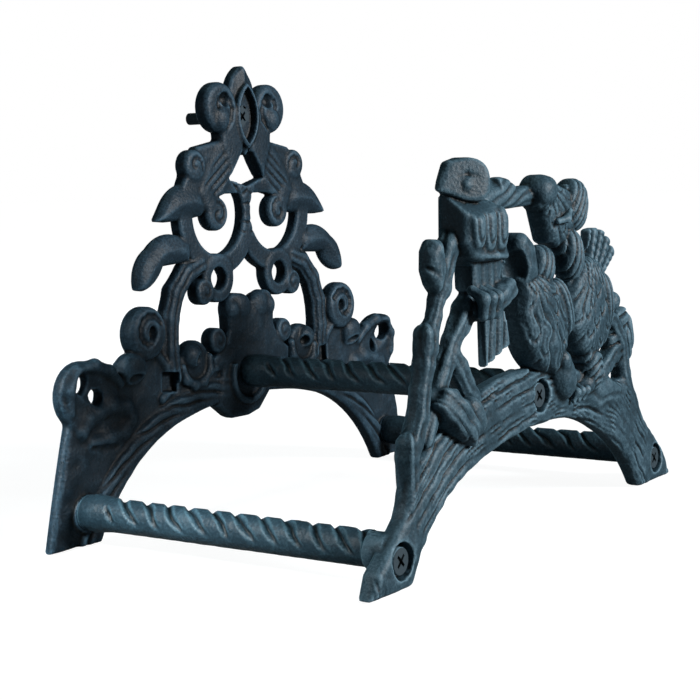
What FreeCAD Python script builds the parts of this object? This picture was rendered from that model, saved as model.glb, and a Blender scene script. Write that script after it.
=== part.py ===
import FreeCAD, Part
import math
import os
from FreeCAD import Placement, Rotation, Vector

# Cast-iron hose hanger for a wall. A scrolled wall plate and a front plate with four birds
# stand parallel, and three round bars between them carry the coiled hose.
# All sizes are in millimetres. The drawing has x across the wall, y = 0 on the wall with the
# front at minus y, and z = 0 at the screws of the two lower bars. At the end everything is
# moved down so that the origin is the wall screw's axis at the wall.

# Bars and their places
bar_spacing = 250.0        # between the screws of the two lower bars
top_bar_x = -4.8           # the upper bar stands a little left of the middle
top_bar_z = 49.6           # height of the upper bar's screw above the lower ones
bar_radius = 7.5
bar_rise = 3.6             # a bar's middle lies this far above its screw
knob_radius = 8.4          # smooth swelling at the wall end
knob_length = 15.0
notch_pitch = 12.0         # diagonal cuts along the top of a bar
notch_width = 2.2
notch_depth = 1.7
notch_angle = 38.0

# Plates
wall_thickness = 6.5
front_face = 172.5         # from the wall to the front of the front plate
front_thickness = 9.0
sole = -12.0               # height of the soles of the four feet
leaf_middle = 5.5          # the side leaves' middle, from the wall
ear_relief = 2.0           # the ears stand this far off the wall
rim_rise = 3.5             # rim along the wall plate's arch
boss_radius = 9.8
boss_rise = 2.4
wall_boss = 1.5            # boss height on the wall plate
front_boss = 6.0           # boss height behind the front plate
pendant_radius = 19.6      # round pad of the wall plate round the upper bar

# Screws: M6, cross recess, countersunk head
screw_radius = 3.0
screw_hole_gap = 0.15
screw_length = 24.0
head_radius = 5.4
cross_width = 1.3
cross_span = 6.4
cross_depth = 1.8
seat_radius = 6.8          # round recess that the head sits in
seat_depth = 1.4
rear_seat_depth = 0.6      # the rear heads lie below the wall face

# Wall screw in the leaf at the top
wall_screw_z = 180.0       # above the screws of the lower bars; the leaf and the top scrolls go with it
wall_screw_length = 34.0
neck_radius = 2.5          # the wall screw is thinner where it passes through the leaf
leaf_thickness = 8.5
leaf_recess = 3.0

# Flats round a cast twig or body, a scroll end and a bar
body_flats = 8
twig_flats = 6
twig_limit = 6.6           # a limb thinner than this radius is a twig
scroll_flats = 9
ring_flats = 20
bar_flats = 14

# Edges of the arch under each plate, from the middle to a foot
arch_top_wall = 40.5
arch_top_front = 36.0
foot_in = bar_spacing / 2 - 8.5
foot_out = bar_spacing / 2 + 21.0

bar_half = bar_spacing / 2
bar_places = {"left": (-bar_half, 0.0), "right": (bar_half, 0.0), "top": (top_bar_x, top_bar_z)}
bar_back = wall_thickness + wall_boss
bar_front = front_face - front_thickness - front_boss


def at(x, z, y=0.0):
    """A point of the drawing; y counts outwards from the wall."""
    return Vector(x, -y, z)


def outline(start, *steps):
    """A closed face. A step is a corner (x, z), or an arc given as (point on it, its end)."""
    first = here = at(*start)
    edges = []
    for step in steps:
        if isinstance(step[0], tuple):
            end = at(*step[1])
            edges.append(Part.Arc(here, at(*step[0]), end).toShape())
        else:
            end = at(*step)
            edges.append(Part.makeLine(here, end))
        here = end
    if here.distanceToPoint(first) > 0.001:
        edges.append(Part.makeLine(here, first))
    return Part.Face(Part.Wire(edges))


def slab(face, back, front):
    """A flat outline made solid between two distances from the wall."""
    face = face.copy()
    face.translate(Vector(0, -back, 0))
    return face.extrude(Vector(0, back - front, 0))


def disc(x, z, radius, back, front):
    return Part.makeCylinder(radius, front - back, at(x, z, back), Vector(0, -1, 0))


def band(a, b, c, width, back, front):
    """A bar of even width that follows the arc through a, b and c."""
    arc = Part.Arc(at(*a), at(*b), at(*c)).toShape()
    centre = arc.Curve.Center
    radius = arc.Curve.Radius

    def offset(point, side):
        out = at(*point) - centre
        out.normalize()
        return centre + out * (radius + side * width / 2)

    outer = Part.Arc(offset(a, 1), offset(b, 1), offset(c, 1)).toShape()
    inner = Part.Arc(offset(c, -1), offset(b, -1), offset(a, -1)).toShape()
    ends = [Part.makeLine(offset(c, 1), offset(c, -1)), Part.makeLine(offset(a, -1), offset(a, 1))]
    return slab(Part.Face(Part.Wire([outer, ends[0], inner, ends[1]])), back, front)


def turned(points, place, direction):
    """A closed profile of (along, out) points and arcs, turned about its own axis."""
    here = Vector(points[0][0], 0, points[0][1])
    first = here
    edges = []
    for step in points[1:]:
        if isinstance(step[0], tuple):
            middle, end = (Vector(s, 0, r) for s, r in step)
            edges.append(Part.Arc(here, middle, end).toShape())
        else:
            end = Vector(step[0], 0, step[1])
            if end.distanceToPoint(here) > 0.001:
                edges.append(Part.makeLine(here, end))
        here = end
    edges.append(Part.makeLine(here, first))
    solid = Part.Face(Part.Wire(edges)).revolve(Vector(0, 0, 0), Vector(1, 0, 0), 360)
    solid = Part.Solid(solid.Shells[0])
    solid.Placement = Placement(place, Rotation(Vector(1, 0, 0), direction))
    return solid


def ringed(rings, flats, place, direction, depth=1.0):
    """A closed form of flat facets through rings (along, radius); depth squeezes it along y."""
    turn = Rotation(Vector(0, 0, 1), direction)
    across = turn.multVec(Vector(0, 1, 0)) if abs(direction.y) > 0.9 * direction.Length else Vector(0, 1, 0)
    side = direction.cross(across).normalize()
    corners = []
    for along, radius in rings:
        middle = place + Vector(direction).normalize() * along
        angles = [2 * math.pi * (k + 0.5) / flats for k in range(flats)]
        corners.append([middle + side * (radius * math.cos(t)) + across * (radius * depth * math.sin(t))
                        for t in angles])
    loops = [corners[end] for end in (0, -1) if rings[end][1] > 0]
    for near, far in zip(corners, corners[1:]):
        for k in range(flats):
            n = (k + 1) % flats
            loop = [near[k], near[n], far[n], far[k]]
            loops.append([p for p, last in zip(loop, loop[-1:] + loop) if p.distanceToPoint(last) > 0.001])
    faces = [Part.Face(Part.makePolygon(loop + loop[:1])) for loop in loops]
    solid = Part.Solid(Part.Shell(faces))
    if solid.Volume < 0:
        solid.reverse()
    return solid


def limb(a, ra, b, rb, depth=1.0):
    """A twig or body from a to b with rounded ends of radius ra and rb, hewn in flats."""
    along = b - a
    length = along.Length
    rings = [(-0.85 * ra, 0), (0, ra), (length, rb), (length + 0.85 * rb, 0)]
    return ringed(rings, twig_flats if max(ra, rb) < twig_limit else body_flats, a, along, depth)


def stem(y, *stations, depth=1.0):
    """Limbs joined end to end through stations (x, z, radius) at one distance from the wall."""
    return [limb(at(x0, z0, y), r0, at(x1, z1, y), r1, depth)
            for (x0, z0, r0), (x1, z1, r1) in zip(stations, stations[1:])]


def volute(x, z, radius, depth):
    """A scroll end: a round pad with a rolled rim, a hollow inside it and an eye."""
    rim = radius * 0.3
    rings = [(0, radius - rim), (depth / 2, radius), (depth, radius - rim),
             (depth - rim, radius * 0.45), (depth, radius * 0.25)]
    return ringed(rings, scroll_flats, at(x, z, 0.0), Vector(0, -1, 0))


def dome(x, z, radius, depth):
    """A small round scroll end without a hollow."""
    rings = [(0, radius * 0.7), (depth / 2, radius), (depth, radius * 0.6)]
    return ringed(rings, body_flats, at(x, z, 0.0), Vector(0, -1, 0))


def pad(x, z, radius, back, front, flats=scroll_flats):
    """A cast pad, or the core of a cast hole, with flats round it."""
    return ringed([(back, radius), (front, radius)], flats, at(x, z, 0.0), Vector(0, -1, 0))


def mirrored(shape):
    return shape.mirror(Vector(0, 0, 0), Vector(1, 0, 0))


def joined(pieces):
    """Pieces that meet, made one solid."""
    return pieces[0].multiFuse(pieces[1:]) if len(pieces) > 1 else pieces[0]


def screw(x, z, face, length, out, neck=0.0):
    """A countersunk screw whose head's top lies at face; out is -1 with the head to the front.
    A neck is a stretch below the head that is thinner than the thread."""
    thin = neck_radius if neck else screw_radius
    profile = [(0, 0), (0, head_radius), (head_radius - thin, thin)]
    if neck:
        profile += [(neck, thin), (neck, screw_radius)]
    profile += [(length, screw_radius), (length, 0)]
    solid = turned(profile, at(x, z, face), Vector(0, -out, 0))
    w, r = cross_width / 2, cross_span / 2
    arm = [(w, w), (r, w), (r, -w), (w, -w), (w, -r), (-w, -r), (-w, -w), (-r, -w), (-r, w), (-w, w),
           (-w, r), (w, r)]
    cross = slab(outline(*arm), -cross_depth, cross_depth)
    cross.rotate(Vector(0, 0, 0), Vector(0, 1, 0), 45)
    cross.translate(at(x, z, face))
    return solid.cut(cross)


def screw_seat(x, z, face, depth, through, out):
    """The countersink and hole for a screw whose head's top lies this deep below the face."""
    hole = screw_radius + screw_hole_gap
    overrun = 5.0
    mouth = head_radius + depth
    profile = [(-overrun, 0), (-overrun, mouth), (0, mouth), (mouth - hole, hole), (through, hole), (through, 0)]
    return turned(profile, at(x, z, face), Vector(0, -out, 0))


def grooves(a, b, c, pitch, count, width, depth, face):
    """Cuts side by side that follow the arc through a, b and c."""
    cuts = []
    for k in range(count):
        lift = k * pitch
        cuts.append(band((a[0], a[1] + lift), (b[0], b[1] + lift), (c[0], c[1] + lift),
                         width, face - depth, face + 1))
    return cuts


# Wall plate
def wall_plate():
    thick = wall_thickness
    leg = outline((0, arch_top_wall), ((34, 38.6), (62, 33)), ((92, 17), (foot_in, sole)),
                  (foot_out + 1, sole), ((foot_out - 4, 14), (foot_out - 11, 45)), (130, 54), (101, 57),
                  (98, 67), (76, 76), (69, 86), (63, 84), (59, 66), (20, 60), (0, 60))
    ear = outline((101, 56), ((110, 67), (122, 70.5)), ((138.5, 59), (136, 46)), (112, 42), (101, 50))
    crown = outline((0, 55), (31, 55), (31, 66), ((30, 76), (20, 78)), (18, 92), ((9, 95), (0, 92)))
    top = wall_screw_z
    crossing = outline((0, 139), (0, 146.5), (12, 150.5), (20, top - 12), (37, top - 15.5), (48, 148), (44, 141))
    neck = outline((3, top - 18), (3, top - 2), (13, top + 10), (21, top - 6), (20, top - 14), (13, 149))
    leaf = outline((0, top + 25), ((6.5, top + 20), (9.5, top + 12)), ((9.5, top - 3), (0, top - 16)))
    eye_ring = pad(23, 132.3, 30.7, 0, thick, ring_flats).cut(pad(23, 132.3, 19.3, -1, thick + 1, ring_flats))
    eye_ring = eye_ring.common(Part.makeBox(80, 40, 60, Vector(-10, -20, 87)))

    half = [
        slab(leg, 0, thick), slab(ear, ear_relief, thick), slab(crown, 0, thick + 1.5), eye_ring,
        slab(crossing, 0, thick), slab(neck, 0, thick + 1.5), slab(leaf, 0, leaf_thickness),
        pad(25, 101, 11.5, 0, thick),
        band((62, 58), (63, 72), (61.5, 85), 8, 0, thick),
        band((61.5, 84), (55, 99), (36, 107), 8, 0, thick),
    ]
    scrolls = [(20, top + 4, 12.5, 8.5), (24, 133, 8.5, 8.5), (41, 64, 8.5, 8.5), (81, 79, 12.0, 10)]
    knobs = [(42, 156, 8.0, 8.5), (91, 62, 7.0, 9.0), (27, 71, 5.5, 9.0), (36, 95, 6.0, 9.0)]
    half += [volute(*place) for place in scrolls] + [dome(*place) for place in knobs]
    half += stem(leaf_middle, (44, 140, 6.5), (56, 138, 5.5), (67, 131.5, 1.6), depth=0.7)
    half += stem(leaf_middle, (52, 112, 7.5), (68, 112.5, 7.5), (76, 107, 6.0), (79, 99, 2.0), depth=0.7)
    ridge = [((62, 52), (80, 44), (92, 32)), ((92, 32), (102, 20), (114, 20))]
    half += [band(*arc, 4.0, 0, thick + 2.0) for arc in ridge]
    half.append(band((38, 41), (76, 28.5), (103, 3), 9.0, 0, thick + rim_rise))

    cuts = [pad(25, 101, 6, -1, thick + 9), pad(123.5, 60, 6, -1, thick + 9),
            pad(113, 51.5, 4.5, -1, thick + 9), pad(64, 54, 5, -1, thick + 9)]

    pieces = half + [mirrored(piece) for piece in half]
    pieces.append(pad(top_bar_x, top_bar_z, pendant_radius, 0, bar_back))
    for x, z in bar_places.values():
        pieces.append(pad(x, z + boss_rise, boss_radius, 0, bar_back))
    plate = joined(pieces)

    recess = outline((0, top + 14), ((8, top + 1), (0, top - 12)), ((-8, top + 1), (0, top + 14)))
    cuts += [mirrored(cut) for cut in cuts]
    cuts.append(slab(recess, leaf_thickness - leaf_recess, leaf_thickness + 5))
    cuts.append(screw_seat(0, wall_screw_z, leaf_thickness - leaf_recess, 0, leaf_thickness, -1))
    for x, z in bar_places.values():
        cuts.append(screw_seat(x, z, 0, rear_seat_depth, 20, 1))
    plate = plate.cut(cuts)
    return plate.removeSplitter()


# Front plate with the birds
def arch_band():
    face = front_face
    back = front_face - front_thickness
    lower = [((62 * -0.5, arch_top_front - 2.0), (0, arch_top_front)), ((31, arch_top_front - 2.0), (62, 28)),
             ((91, 15.5), (foot_in, sole)), (foot_out - 1, sole)]
    upper = [(136, 2), (126, 11), (106, 27), (97, 38), (90, 47), (78, 45), ((40, 56), (0, 61)),
             ((-36, 62), (-68, 55)), (-101, 41), (-113, 36), (-119, 36), (-121, 16), (-133, 5), (-142, -2),
             (-foot_out + 1, sole), (-foot_in, sole), ((-91, 15.5), (-62, 28))]
    body = slab(outline((-62, 28), *lower, *upper), back, face)
    cuts = grooves((-100, 14), (-50, 36), (0, 40), 7.0, 2, 1.4, 1.3, face)
    cuts += grooves((0, 40), (50, 36), (106, 8), 7.0, 2, 1.4, 1.3, face)
    return body.cut(cuts)


def perched_bird():
    """The bird on the left, upright and looking left."""
    y = front_face - 1.5
    pieces = stem(y, (-73, 146, 10.3), (-64, 126, 11.5), (-61, 110, 10.5))
    pieces += stem(y, (-77, 144.5, 5.5), (-89, 142.6, 1.8))
    pieces += stem(y, (-56, 136, 7.0), (-52, 125, 9.5), (-50, 111, 8.5))
    tail = outline((-57, 100), (-41, 100), (-37, 75.5), (-57, 70))
    pieces.append(slab(tail, front_face - 4.5, front_face + 0.5))
    return pieces


def hanging_bird():
    """The bird in the middle, head down."""
    y = front_face - 1.5
    pieces = stem(y, (-24, 113, 8.0), (-12, 104, 9.0), (-9, 90, 11.0), (-8, 77, 11.5), (2, 62, 9.5))
    pieces += stem(y, (0, 104, 7.0), (5, 92, 9.5), (6, 78, 11.0), (13, 56, 9.5))
    return pieces


def bowing_bird():
    """The bird at the top of the bunch, looking along the twig to the left."""
    y = front_face - 1.5
    pieces = stem(y, (2, 138.5, 7.5), (12, 131, 10.0), (25, 128, 11.0))
    pieces += stem(y, (32, 139, 6.4), (36, 129, 6.4))
    pieces += stem(y, (20, 120, 9.0), (27, 111, 7.6), (28, 103, 6.0))
    return pieces


def climbing_bird():
    """The bird on the right, head down, with its tail spread like a fan."""
    y = front_face - 1.5
    pieces = stem(y, (60, 106, 6.0), (53, 95, 11.0), (50, 77, 11.5), (43, 56, 8.5))
    fan = outline((50, 118.5), ((66, 119.5), (79, 113)), ((82, 109), (79, 106)), (70, 98), (52, 98))
    pieces.append(slab(fan, front_face - 8, front_face - 3.5))
    return pieces


def twigs():
    y = front_face - 4.5
    pieces = stem(y, (-117, 11, 5.5), (-116, 44, 5.5))
    pieces += stem(y, (-114, 46, 5.6), (-105, 49, 5.0), (-100, 84, 4.6), (-95, 92, 5.0), (-88.5, 115, 8.2))
    pieces += stem(y, (-99, 82, 6.0), (-94, 84, 5.0), (-83, 98, 5.0), (-72, 115, 5.5))
    pieces += stem(y, (-100, 42, 4.5), (-79, 81, 4.5), (-65, 96, 5.0), (-50, 95, 6.2), (-25, 99, 5.0))
    pieces += stem(y, (-79, 76, 5.5), (-63, 61, 4.5))
    pieces += stem(y, (-88, 55, 7.0), (-66, 43, 6.5))
    pieces += stem(y, (-50, 135, 5.0), (-32, 140, 6.0), (-16, 139, 4.4), (2, 139, 4.0))
    pieces += stem(y, (108, 20, 5.0), (97, 34, 5.0), (87, 56, 4.5), (88, 66, 4.5))
    pieces += stem(y, (70, 42, 6.5), (54, 42, 6.5), (42, 47, 6.5))
    pieces += stem(y, (86, 66, 5.0), (80, 83, 3.8), (66, 84, 5.0))
    veined_leaf = outline((80, 55), ((99, 60), (97, 74)), ((90, 81), (78, 78)), ((73, 66), (80, 55)))
    pieces.append(slab(veined_leaf, front_face - 7.5, front_face - 1))
    return pieces


def front_plate():
    plate = arch_band()
    bosses = [pad(x, z + boss_rise, boss_radius, bar_front, front_face - 3) for x, z in bar_places.values()]
    for group in (bosses, twigs(), perched_bird(), hanging_bird(), bowing_bird(), climbing_bird()):
        plate = plate.fuse(joined(group))
    cuts = []
    for x, z in bar_places.values():
        cuts.append(pad(x, z, seat_radius, front_face - seat_depth, front_face + 10))
        cuts.append(screw_seat(x, z, front_face - seat_depth, 0, 30, -1))
    return plate.cut(cuts).removeSplitter()


# Bars
def bar(x, z):
    """A round bar with a smooth swelling at the wall end and bark-like cuts along its top."""
    z_mid = z + bar_rise
    length = bar_front - bar_back
    rings = [(0, bar_radius), (knob_length * 0.4, knob_radius), (knob_length, bar_radius), (length, bar_radius)]
    solid = ringed(rings, bar_flats, at(x, z_mid, bar_back), Vector(0, -1, 0))
    count = int((length - knob_length - notch_pitch) / notch_pitch)
    cuts = []
    for k in range(count):
        cut = Part.makeBox(4 * bar_radius, notch_width, notch_depth * 3)
        cut.translate(Vector(-2 * bar_radius, -notch_width / 2, bar_radius - notch_depth))
        cut.rotate(Vector(0, 0, 0), Vector(0, 0, 1), notch_angle)
        cut.translate(at(x, z_mid, bar_back + knob_length + notch_pitch * (k + 1)))
        cuts.append(cut)
    hole = screw_radius + screw_hole_gap
    front_depth = screw_length - front_thickness - front_boss + seat_depth + 2
    rear_depth = screw_length - bar_back + rear_seat_depth + 2
    cuts.append(disc(x, z, hole, bar_front - front_depth, bar_front + 1))
    cuts.append(disc(x, z, hole, bar_back - 1, bar_back + rear_depth))
    return solid.cut(cuts)


def all_parts():
    parts = {"wall_plate": wall_plate(), "front_plate": front_plate()}
    for name, (x, z) in bar_places.items():
        parts["bar_" + name] = bar(x, z)
        parts["front_screw_" + name] = screw(x, z, front_face - seat_depth, screw_length, -1)
        parts["rear_screw_" + name] = screw(x, z, rear_seat_depth, screw_length, 1)
    seat = leaf_thickness - leaf_recess
    parts["wall_screw"] = screw(0, wall_screw_z, seat, wall_screw_length, -1, neck=seat)
    return parts


os.makedirs("parts", exist_ok=True)
for name, shape in all_parts().items():
    shape.translate(Vector(0, 0, -wall_screw_z))
    print(name, "solids", len(shape.Solids), "valid", shape.isValid())
    shape.exportStep("parts/" + name + ".step")
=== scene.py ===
# %% [markdown]
# # A cast-iron hose hanger
# The real object is garden ironwork: molten iron poured into two sand moulds, one for the scrolled plate
# that goes on the wall and one for the plate with the birds. Three cast bars join them, and cross-head
# screws hold it all together. This lesson models the castings the way a pattern maker works, by laying
# clay on clay and smoothing the joins, and keeps the screws as the frame gives them.

# %% The frame
import math

import bpy
import numpy as np
from mathutils import Matrix, Vector


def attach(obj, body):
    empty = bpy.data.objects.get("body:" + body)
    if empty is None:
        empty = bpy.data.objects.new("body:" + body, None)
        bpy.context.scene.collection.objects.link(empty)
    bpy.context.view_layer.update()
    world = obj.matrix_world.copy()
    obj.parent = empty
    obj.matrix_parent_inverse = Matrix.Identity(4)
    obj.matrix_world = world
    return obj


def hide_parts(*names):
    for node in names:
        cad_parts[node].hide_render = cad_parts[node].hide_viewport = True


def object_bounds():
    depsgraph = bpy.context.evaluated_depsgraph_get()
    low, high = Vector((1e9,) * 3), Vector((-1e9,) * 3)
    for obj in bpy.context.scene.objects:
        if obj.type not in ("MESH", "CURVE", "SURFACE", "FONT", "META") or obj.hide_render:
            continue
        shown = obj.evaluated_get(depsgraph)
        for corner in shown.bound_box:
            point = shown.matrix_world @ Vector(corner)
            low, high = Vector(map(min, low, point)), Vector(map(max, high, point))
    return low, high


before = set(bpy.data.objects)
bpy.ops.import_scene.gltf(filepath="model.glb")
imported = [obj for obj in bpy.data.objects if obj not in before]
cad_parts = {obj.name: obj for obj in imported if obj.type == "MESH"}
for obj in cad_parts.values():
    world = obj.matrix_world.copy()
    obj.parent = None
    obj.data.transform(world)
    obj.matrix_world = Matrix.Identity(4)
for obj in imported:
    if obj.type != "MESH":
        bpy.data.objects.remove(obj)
cad_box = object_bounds()
print("CAD box", cad_box)

# %% [markdown]
# Everything is worked out in millimetres in the drawing's own directions: x to the right, y out from the
# wall and z up from the screws of the two lower bars. One function turns such points into the scene's
# metres, where the origin is the wall screw and the front is at minus y.

# %% Places and sizes
BAR_HALF = 125.0                     # half the distance between the lower bars
TOP_BAR = (-4.8, 49.6)               # the upper bar, a little left of the middle
BARS = {"left": (-BAR_HALF, 0.0), "right": (BAR_HALF, 0.0), "top": TOP_BAR}
WALL_SCREW_Z = 180.0
FRONT_BACK, FRONT = 163.5, 172.5     # the front plate's back and face
TWIG_Y = FRONT - 4.5                 # the middle of the twigs
BAR_BACK, BAR_FRONT = 8.0, 157.5     # where the bars meet the two plates
SOLE = -12.0                         # the feet's undersides
MOST_TRIANGLES = 190000              # for each casting
VOXEL = 0.75  # the size of a cell of clay
print("bars", BARS, "cells of", VOXEL, "mm")


def to_scene(points):
    """Drawing millimetres to scene metres."""
    p = np.asarray(points, float)
    return np.stack([p[..., 0], -p[..., 1], p[..., 2] - WALL_SCREW_Z], axis=-1) / 1000


# %% [markdown]
# Clay is a block of small cells that each hold the distance to the nearest surface, less than zero
# inside. Laying one form on another takes the smaller distance, and rounding the corner between the two
# gives the soft fillet that a sand casting has. Carving takes the larger one. In the end a skin is drawn
# where the distance is zero.

# %% Clay
def soft_min(a, b, blend):
    """The smaller of two distances, with a fillet about as wide as blend."""
    h = np.maximum(blend - np.abs(a - b), 0.0) / blend
    return np.minimum(a, b) - h * h * blend / 4


class Clay:
    """A block of cells between two corners, in drawing millimetres."""

    def __init__(self, low, high):
        self.low = np.array(low, float)
        self.axes = [np.arange(a, b + VOXEL, VOXEL, dtype=np.float32) for a, b in zip(low, high)]
        self.d = np.full([len(axis) for axis in self.axes], 6.0, dtype=np.float32)

    def window(self, low, high):
        """The cells between two corners, and their coordinates."""
        cut = []
        for axis, a, b in zip(self.axes, low, high):
            first, last = int(np.searchsorted(axis, a)), int(np.searchsorted(axis, b))
            cut.append(slice(max(first - 1, 0), last + 1))
        x, y, z = (axis[c] for axis, c in zip(self.axes, cut))
        return tuple(cut), x[:, None, None], y[None, :, None], z[None, None, :]

    def lay(self, form, blend=2.0):
        """Adds a form, softly joined to what is there."""
        field, low, high = form
        margin = 3.0 + blend
        cut, x, y, z = self.window([v - margin for v in low], [v + margin for v in high])
        self.d[cut] = soft_min(self.d[cut], field(x, y, z), blend)

    def carve(self, form, blend=0.6):
        """Takes a form away."""
        field, low, high = form
        cut, x, y, z = self.window([v - 3.0 for v in low], [v + 3.0 for v in high])
        self.d[cut] = -soft_min(-self.d[cut], field(x, y, z), blend)

    def tell(self, what):
        """Prints how much clay there is once a part is on."""
        print(what, "done, clay", round(float((self.d < 0).sum()) * VOXEL ** 3 / 1000, 1), "cm3")


# %% [markdown]
# Noise gives what the hand and the sand leave: bark that wanders, feathers that aren't ruled, and a
# slightly uneven skin. It is worked out from whole-number steps by a fixed rule, so each run gives the
# same casting.

# %% Noise
def scatter(i, j, k, seed):
    """A fixed value from 0 to 1 for each whole-number place."""
    h = (i * 374761393 + j * 668265263 + k * 1440662683 + seed * 974634777) & 0xFFFFFFFF
    h = ((h ^ (h >> 13)) * 1274126177) & 0xFFFFFFFF
    return ((h ^ (h >> 16)) & 0xFFFF) / 65535.0


def noise(x, y, z, seed=1):
    """Smooth noise from -1 to 1 with swells one unit across."""
    x, y, z = np.broadcast_arrays(x, y, z)
    base = [np.floor(v) for v in (x, y, z)]
    part = [v - b for v, b in zip((x, y, z), base)]
    ease = [p * p * (3 - 2 * p) for p in part]
    i, j, k = (b.astype(np.int64) for b in base)
    total = 0.0
    for a in (0, 1):
        for b in (0, 1):
            for c in (0, 1):
                weight = (ease[0] if a else 1 - ease[0]) * (ease[1] if b else 1 - ease[1])
                weight = weight * (ease[2] if c else 1 - ease[2])
                total = total + weight * scatter(i + a, j + b, k + c, seed)
    return 2 * total - 1


def furrow(phase, width=0.28):
    """1 in the middle of a furrow at each whole phase, falling to 0 beside it."""
    gap = np.abs(phase - np.round(phase)) / width
    return np.exp(-gap * gap)


# %% [markdown]
# The forms that get laid each give a distance and the corners of the block they reach. First come slabs,
# cut to an outline with rounded edges. An outline is corners and arcs, as on a drawing.

# %% Forms: outlines and slabs
def arc(a, b, c, count=10):
    """Points on the circle through a, b and c, without a itself."""
    (ax, az), (bx, bz), (cx, cz) = a, b, c
    d = 2 * (ax * (bz - cz) + bx * (cz - az) + cx * (az - bz))
    squares = [px**2 + pz**2 for px, pz in (a, b, c)]
    ux = (squares[0] * (bz - cz) + squares[1] * (cz - az) + squares[2] * (az - bz)) / d
    uz = (squares[0] * (cx - bx) + squares[1] * (ax - cx) + squares[2] * (bx - ax)) / d
    t0, t1, t2 = (math.atan2(z - uz, x - ux) for x, z in (a, b, c))
    turn = (t2 - t0) % (2 * math.pi)
    if (t1 - t0) % (2 * math.pi) > turn:
        turn -= 2 * math.pi
    radius = math.hypot(ax - ux, az - uz)
    stops = [t0 + turn * k / count for k in range(1, count + 1)]
    return [(ux + radius * math.cos(t), uz + radius * math.sin(t)) for t in stops]


def outline(start, *steps):
    """Corner points. A step is a corner (x, z), or an arc given as (point on it, its end)."""
    points = [start]
    for step in steps:
        if isinstance(step[0], tuple):
            points += arc(points[-1], step[0], step[1])
        else:
            points.append(step)
    return points


def outline_distance(x, z, points):
    """Distance to a closed outline, less than zero inside it."""
    best = np.full(np.broadcast(x, z).shape, 1e9, dtype=np.float32)
    sign = np.ones_like(best)
    for (ax, az), (bx, bz) in zip(points, points[1:] + points[:1]):
        ex, ez = bx - ax, bz - az
        wx, wz = x - ax, z - az
        t = np.clip((wx * ex + wz * ez) / max(ex * ex + ez * ez, 1e-9), 0, 1)
        best = np.minimum(best, (wx - ex * t) ** 2 + (wz - ez * t) ** 2)
        above, below, left = z >= az, z < bz, ex * wz > ez * wx
        sign = np.where((above & below & left) | (~above & ~below & ~left), -sign, sign)
    return sign * np.sqrt(best)


def whole(points):
    """The right half of an outline from the middle line and back to it, made whole."""
    return points + [(-x, z) for x, z in reversed(points) if x > 0.01]


def slab(points, back, front, edge=2.0, crown=0.0, relief=None):
    """An outline between two distances from the wall; crown swells its front, relief(x, z) shapes it."""
    xs, zs = [p[0] for p in points], [p[1] for p in points]

    def field(x, y, z):
        flat = outline_distance(x, z, points)
        face = front + crown * (1 - np.exp(np.minimum(flat, 0) / 6.0))
        if relief is not None:
            face = face + relief(x, z)
        a = np.maximum(y - face, back - y) + edge
        b = flat + edge
        return np.minimum(np.maximum(a, b), 0) + np.hypot(np.maximum(a, 0), np.maximum(b, 0)) - edge

    return field, [min(xs), back, min(zs)], [max(xs), front + crown + 2, max(zs)]


# %% [markdown]
# Limbs run through a few stations like a rolled sausage of clay, and eggs make bodies and heads. Both
# take a skin, a rule that adds furrows or bumps to the radius. Their section can be round or boxy.

# %% Forms: limbs and eggs
def limb(stations, squeeze=1.0, skin=None, join=2.0, power=2.0):
    """A rolled form through stations (x, y, z, radius), its section squarer for a higher power.
    skin(along, round, t) adds to the radius: along is in millimetres from the start, round is the
    angle about it from the front."""
    stations = [tuple(float(v) for v in s) for s in stations]
    starts = np.cumsum([0.0] + [math.dist(a[:3], b[:3]) for a, b in zip(stations, stations[1:])])

    def field(x, y, z):
        best = None
        for a, b, start in zip(stations, stations[1:], starts):
            (ax, ay, az, ra), (bx, by, bz, rb) = a, b
            ex, ey, ez = bx - ax, (by - ay) / squeeze, bz - az
            length2 = ex * ex + ey * ey + ez * ez
            wx, wy, wz = x - ax, (y - ay) / squeeze, z - az
            t = np.clip((wx * ex + wy * ey + wz * ez) / length2, 0, 1)
            px, py, pz = wx - ex * t, wy - ey * t, wz - ez * t
            radius = ra + (rb - ra) * t
            flat = math.hypot(ex, ez) or 1.0
            side = (px * ez - pz * ex) / flat
            if skin is not None:
                radius = radius + skin(start + t * math.sqrt(length2), np.arctan2(side, py), t)
            if power > 2:
                section = (np.abs(side) ** power + np.abs(py) ** power) ** (1 / power)
                past = np.maximum(px * px + pz * pz - side * side, 0)
                d = (np.sqrt(section * section + past) - radius) * min(1.0, squeeze)
            else:
                d = (np.sqrt(px * px + py * py + pz * pz) - radius) * min(1.0, squeeze)
            best = d if best is None else soft_min(best, d, join)
        return best

    r = max(s[3] for s in stations)
    low = [min(s[k] for s in stations) - r for k in range(3)]
    high = [max(s[k] for s in stations) + r for k in range(3)]
    return field, low, high


def egg(place, radii, turn=0.0, skin=None, power=2.0):
    """An egg at place with half-sizes (along, out, across), its long axis turned from +x towards +z,
    boxier for a higher power. skin(a, out, b) adds to its surface, a and b run from -1 to 1."""
    cx, cy, cz = place
    ra, ry, rb = radii
    c, s = math.cos(math.radians(turn)), math.sin(math.radians(turn))

    def field(x, y, z):
        a = ((x - cx) * c + (z - cz) * s) / ra
        b = (-(x - cx) * s + (z - cz) * c) / rb
        o = (y - cy) / ry
        p, q = power, power - 1
        k0 = np.maximum(np.abs(a) ** p + np.abs(b) ** p + np.abs(o) ** p, 1e-9) ** (1 / p)
        k1 = (np.abs(a) ** q / ra) ** 2 + (np.abs(b) ** q / rb) ** 2 + (np.abs(o) ** q / ry) ** 2
        k1 = np.sqrt(k1)
        d = (k0 - 1) * k0 ** q / np.maximum(k1, 1e-6)
        return d if skin is None else d - skin(a, o, b)

    reach = max(ra, rb)
    return field, [cx - reach, cy - ry, cz - reach], [cx + reach, cy + ry, cz + reach]


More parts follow.
